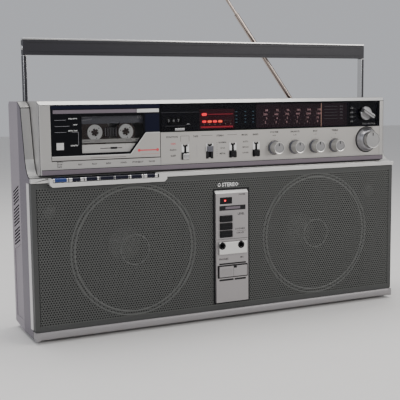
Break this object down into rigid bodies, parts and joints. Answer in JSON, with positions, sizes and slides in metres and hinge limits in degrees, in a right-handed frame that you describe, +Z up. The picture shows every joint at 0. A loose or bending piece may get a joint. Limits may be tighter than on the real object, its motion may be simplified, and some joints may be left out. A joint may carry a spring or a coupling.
{
  "type": "cassette player",
  "caption": "Portable stereo radio with a cassette deck, piano keys, tuning dial, two loudspeakers behind a perforated grille, carrying handle and telescopic antenna.",
  "frame": {"origin": "centre of the bounding box's bottom face, which is the table under the feet", "axes": "+X to the right seen from the front, +Y to the back, +Z up"},
  "size_m": [0.556, 0.1186, 0.5454],
  "materials": {
    "silver_plastic": "satin silver paint over moulded plastic",
    "side_plastic": "fine-grained dark grey",
    "rear_plastic": "fine-grained grey",
    "grille_steel": "black painted perforated sheet",
    "black_plastic": "matt black",
    "key_plastic": "gloss navy",
    "clear_plastic": "clear, lightly smoked",
    "dial_print": "matt black with pale print",
    "needle_red": "gloss red-orange",
    "knob_aluminium": "spun",
    "steel": "zinc plated",
    "chrome": "polished",
    "cassette_plastic": "smoked",
    "reel_plastic": "off-white",
    "board": "green laminate",
    "paper_cone": "pressed paper"
  },
  "bodies": {
    "cabinet": {"front_cabinet": "side_plastic", "rear_cabinet": "rear_plastic", "speaker_grille": "grille_steel", "ledge_rim": "silver_plastic", "bottom_trim": "silver_plastic", "control_housing": "silver_plastic", "control_panel": "silver_plastic", "dial_window": "clear_plastic", "dial_scale": "dial_print", "tape_counter": "black_plastic", "deck_plate": "steel", "deck_motor": "steel", "centre_panel": "silver_plastic", "jack_block": "black_plastic", "woofer_left": "paper_cone", "woofer_right": "paper_cone", "tweeter_left": "paper_cone", "tweeter_right": "paper_cone", "battery_tray": "black_plastic", "main_board": "board", "power_inlet": "black_plastic", "transformer": "steel"},
    "tuning": {"tuning_knob": "knob_aluminium"},
    "pointer": {"dial_pointer": "needle_red"},
    "volume": {"volume_knob": "knob_aluminium"},
    "balance": {"balance_knob": "knob_aluminium"},
    "bass": {"bass_knob": "knob_aluminium"},
    "treble": {"treble_knob": "knob_aluminium"},
    "function_lever": {"function_switch": "silver_plastic"},
    "tape_lever": {"tape_switch": "silver_plastic"},
    "stereo_lever": {"stereo_switch": "silver_plastic"},
    "tuner_lever": {"tuner_switch": "silver_plastic"},
    "band": {"band_selector": "knob_aluminium"},
    "counter_reset": {"counter_reset_button": "silver_plastic"},
    "deck_lid": {"cassette_door": "silver_plastic", "cassette_window": "clear_plastic", "cassette_shell": "cassette_plastic"},
    "flywheel": {"capstan_flywheel": "steel"},
    "reel_hub_left": {"reel_left": "reel_plastic"},
    "spindle_drive_left": {"spindle_left": "reel_plastic"},
    "reel_hub_right": {"reel_right": "reel_plastic"},
    "spindle_drive_right": {"spindle_right": "reel_plastic"},
    "key_record_lever": {"key_record": "key_plastic"},
    "key_play_lever": {"key_play": "key_plastic"},
    "key_rewind_lever": {"key_rewind": "key_plastic"},
    "key_fast_forward_lever": {"key_fast_forward": "key_plastic"},
    "key_stop_lever": {"key_stop": "key_plastic"},
    "key_eject_lever": {"key_eject": "key_plastic"},
    "key_pause_lever": {"key_pause": "key_plastic"},
    "head_carriage": {"head_block": "steel"},
    "mode_top": {"mode_button_top": "black_plastic"},
    "mode_mid": {"mode_button_mid": "black_plastic"},
    "mode_low": {"mode_button_low": "black_plastic"},
    "wide_button": {"wide_push_button": "silver_plastic"},
    "handle": {"handle_frame": "chrome", "handle_grip": "black_plastic"},
    "antenna_foot": {"antenna_swivel": "chrome"},
    "antenna_tube": {"antenna_outer_tube": "chrome"},
    "antenna_rod": {"antenna_inner_rod": "chrome"},
    "battery_hatch": {"battery_door": "rear_plastic"}
  },
  "joints": [
    {"name": "tuning_turn", "type": "hinge", "parent": "cabinet", "child": "tuning", "pos_m": [0.2317, -0.0487, 0.2448], "axis": [0, 1, 0], "range_deg": [-680, 226]},
    {"name": "pointer_slide", "type": "slide", "parent": "cabinet", "child": "pointer", "axis": [1, 0, 0], "range_m": [-0.135, 0.045]},
    {"name": "volume_turn", "type": "hinge", "parent": "cabinet", "child": "volume", "pos_m": [0.0735, -0.0487, 0.238], "axis": [0, 1, 0], "range_deg": [-135, 135]},
    {"name": "balance_turn", "type": "hinge", "parent": "cabinet", "child": "balance", "pos_m": [0.1077, -0.0487, 0.238], "axis": [0, 1, 0], "range_deg": [-135, 135]},
    {"name": "bass_turn", "type": "hinge", "parent": "cabinet", "child": "bass", "pos_m": [0.1419, -0.0487, 0.238], "axis": [0, 1, 0], "range_deg": [-135, 135]},
    {"name": "treble_turn", "type": "hinge", "parent": "cabinet", "child": "treble", "pos_m": [0.176, -0.0487, 0.238], "axis": [0, 1, 0], "range_deg": [-135, 135]},
    {"name": "function_slide", "type": "slide", "parent": "cabinet", "child": "function_lever", "axis": [0, 0, 1], "range_m": [0, 0.0118]},
    {"name": "tape_slide", "type": "slide", "parent": "cabinet", "child": "tape_lever", "axis": [0, 0, 1], "range_m": [-0.009, 0.003]},
    {"name": "stereo_slide", "type": "slide", "parent": "cabinet", "child": "stereo_lever", "axis": [0, 0, 1], "range_m": [0, 0.0114]},
    {"name": "tuner_slide", "type": "slide", "parent": "cabinet", "child": "tuner_lever", "axis": [0, 0, 1], "range_m": [0, 0.0114]},
    {"name": "band_turn", "type": "hinge", "parent": "cabinet", "child": "band", "pos_m": [0.23, -0.0487, 0.2835], "axis": [0, -1, 0], "range_deg": [0, 53]},
    {"name": "counter_reset_press", "type": "slide", "parent": "cabinet", "child": "counter_reset", "axis": [0, 1, 0], "range_m": [0, 0.0015], "stiffness_N_per_m": 200},
    {"name": "deck_lid_open", "type": "hinge", "parent": "cabinet", "child": "deck_lid", "pos_m": [0, -0.0402, 0.2332], "axis": [1, 0, 0], "range_deg": [0, 26]},
    {"name": "flywheel_spin", "type": "hinge", "parent": "cabinet", "child": "flywheel", "pos_m": [-0.204, -0.0087, 0.246], "axis": [0, 1, 0], "continuous": true},
    {"name": "spindle_spin_left", "type": "hinge", "parent": "cabinet", "child": "spindle_drive_left", "pos_m": [-0.1889, -0.0187, 0.2662], "axis": [0, 1, 0], "continuous": true},
    {"name": "reel_spin_left", "type": "hinge", "parent": "deck_lid", "child": "reel_hub_left", "pos_m": [-0.1889, -0.0297, 0.2662], "axis": [0, 1, 0], "continuous": true},
    {"name": "spindle_spin_right", "type": "hinge", "parent": "cabinet", "child": "spindle_drive_right", "pos_m": [-0.1464, -0.0187, 0.2662], "axis": [0, 1, 0], "continuous": true},
    {"name": "reel_spin_right", "type": "hinge", "parent": "deck_lid", "child": "reel_hub_right", "pos_m": [-0.1464, -0.0297, 0.2662], "axis": [0, 1, 0], "continuous": true},
    {"name": "key_record_press", "type": "hinge", "parent": "cabinet", "child": "key_record_lever", "pos_m": [-0.241, 0.0013, 0.2068], "axis": [1, 0, 0], "range_deg": [0, 3.7], "stiffness_Nm_per_rad": 1},
    {"name": "key_play_press", "type": "hinge", "parent": "cabinet", "child": "key_play_lever", "pos_m": [-0.2207, 0.0013, 0.2068], "axis": [1, 0, 0], "range_deg": [0, 3.7], "stiffness_Nm_per_rad": 1},
    {"name": "key_rewind_press", "type": "hinge", "parent": "cabinet", "child": "key_rewind_lever", "pos_m": [-0.2004, 0.0013, 0.2068], "axis": [1, 0, 0], "range_deg": [0, 3.7], "stiffness_Nm_per_rad": 1},
    {"name": "key_fast_forward_press", "type": "hinge", "parent": "cabinet", "child": "key_fast_forward_lever", "pos_m": [-0.1801, 0.0013, 0.2068], "axis": [1, 0, 0], "range_deg": [0, 3.7], "stiffness_Nm_per_rad": 1},
    {"name": "key_stop_press", "type": "hinge", "parent": "cabinet", "child": "key_stop_lever", "pos_m": [-0.1598, 0.0013, 0.2068], "axis": [1, 0, 0], "range_deg": [0, 3.7], "stiffness_Nm_per_rad": 1},
    {"name": "key_eject_press", "type": "hinge", "parent": "cabinet", "child": "key_eject_lever", "pos_m": [-0.1395, 0.0013, 0.2068], "axis": [1, 0, 0], "range_deg": [0, 3.7], "stiffness_Nm_per_rad": 1},
    {"name": "key_pause_press", "type": "hinge", "parent": "cabinet", "child": "key_pause_lever", "pos_m": [-0.1192, 0.0013, 0.2068], "axis": [1, 0, 0], "range_deg": [0, 3.7], "stiffness_Nm_per_rad": 1},
    {"name": "head_raise", "type": "slide", "parent": "cabinet", "child": "head_carriage", "axis": [0, 0, 1], "range_m": [0, 0.003]},
    {"name": "mode_top_press", "type": "slide", "parent": "cabinet", "child": "mode_top", "axis": [0, 1, 0], "range_m": [0, 0.002], "stiffness_N_per_m": 300},
    {"name": "mode_mid_press", "type": "slide", "parent": "cabinet", "child": "mode_mid", "axis": [0, 1, 0], "range_m": [0, 0.002], "stiffness_N_per_m": 300},
    {"name": "mode_low_press", "type": "slide", "parent": "cabinet", "child": "mode_low", "axis": [0, 1, 0], "range_m": [0, 0.002], "stiffness_N_per_m": 300},
    {"name": "wide_button_press", "type": "slide", "parent": "cabinet", "child": "wide_button", "axis": [0, 1, 0], "range_m": [0, 0.002], "stiffness_N_per_m": 400},
    {"name": "handle_fold", "type": "hinge", "parent": "cabinet", "child": "handle", "pos_m": [0, 0.0193, 0.296], "axis": [-1, 0, 0], "range_deg": [0, 13]},
    {"name": "antenna_turn", "type": "hinge", "parent": "cabinet", "child": "antenna_foot", "pos_m": [0.162, 0.0513, 0.299], "axis": [0, 0, -1], "range_deg": [0, 180]},
    {"name": "antenna_tilt", "type": "hinge", "parent": "antenna_foot", "child": "antenna_tube", "pos_m": [0.162, 0.0513, 0.299], "axis": [0, 1, 0], "range_deg": [-53, 36.8]},
    {"name": "antenna_extend", "type": "slide", "parent": "antenna_tube", "child": "antenna_rod", "axis": [-0.599, 0, 0.8007], "range_m": [-0.134, 0]},
    {"name": "battery_hatch_open", "type": "hinge", "parent": "cabinet", "child": "battery_hatch", "pos_m": [0, 0.0583, 0.0172], "axis": [-1, 0, 0], "range_deg": [0, 90]}
  ],
  "couplings": [
    {"joint": "pointer_slide", "follows": "tuning_turn", "m_per_rad": 0.0112},
    {"joint": "spindle_spin_left", "follows": "flywheel_spin", "ratio": 0.12},
    {"joint": "reel_spin_left", "follows": "flywheel_spin", "ratio": 0.12},
    {"joint": "spindle_spin_right", "follows": "flywheel_spin", "ratio": 0.12},
    {"joint": "reel_spin_right", "follows": "flywheel_spin", "ratio": 0.12},
    {"joint": "head_raise", "follows": "key_play_press", "m_per_rad": 0.0455}
  ]
}
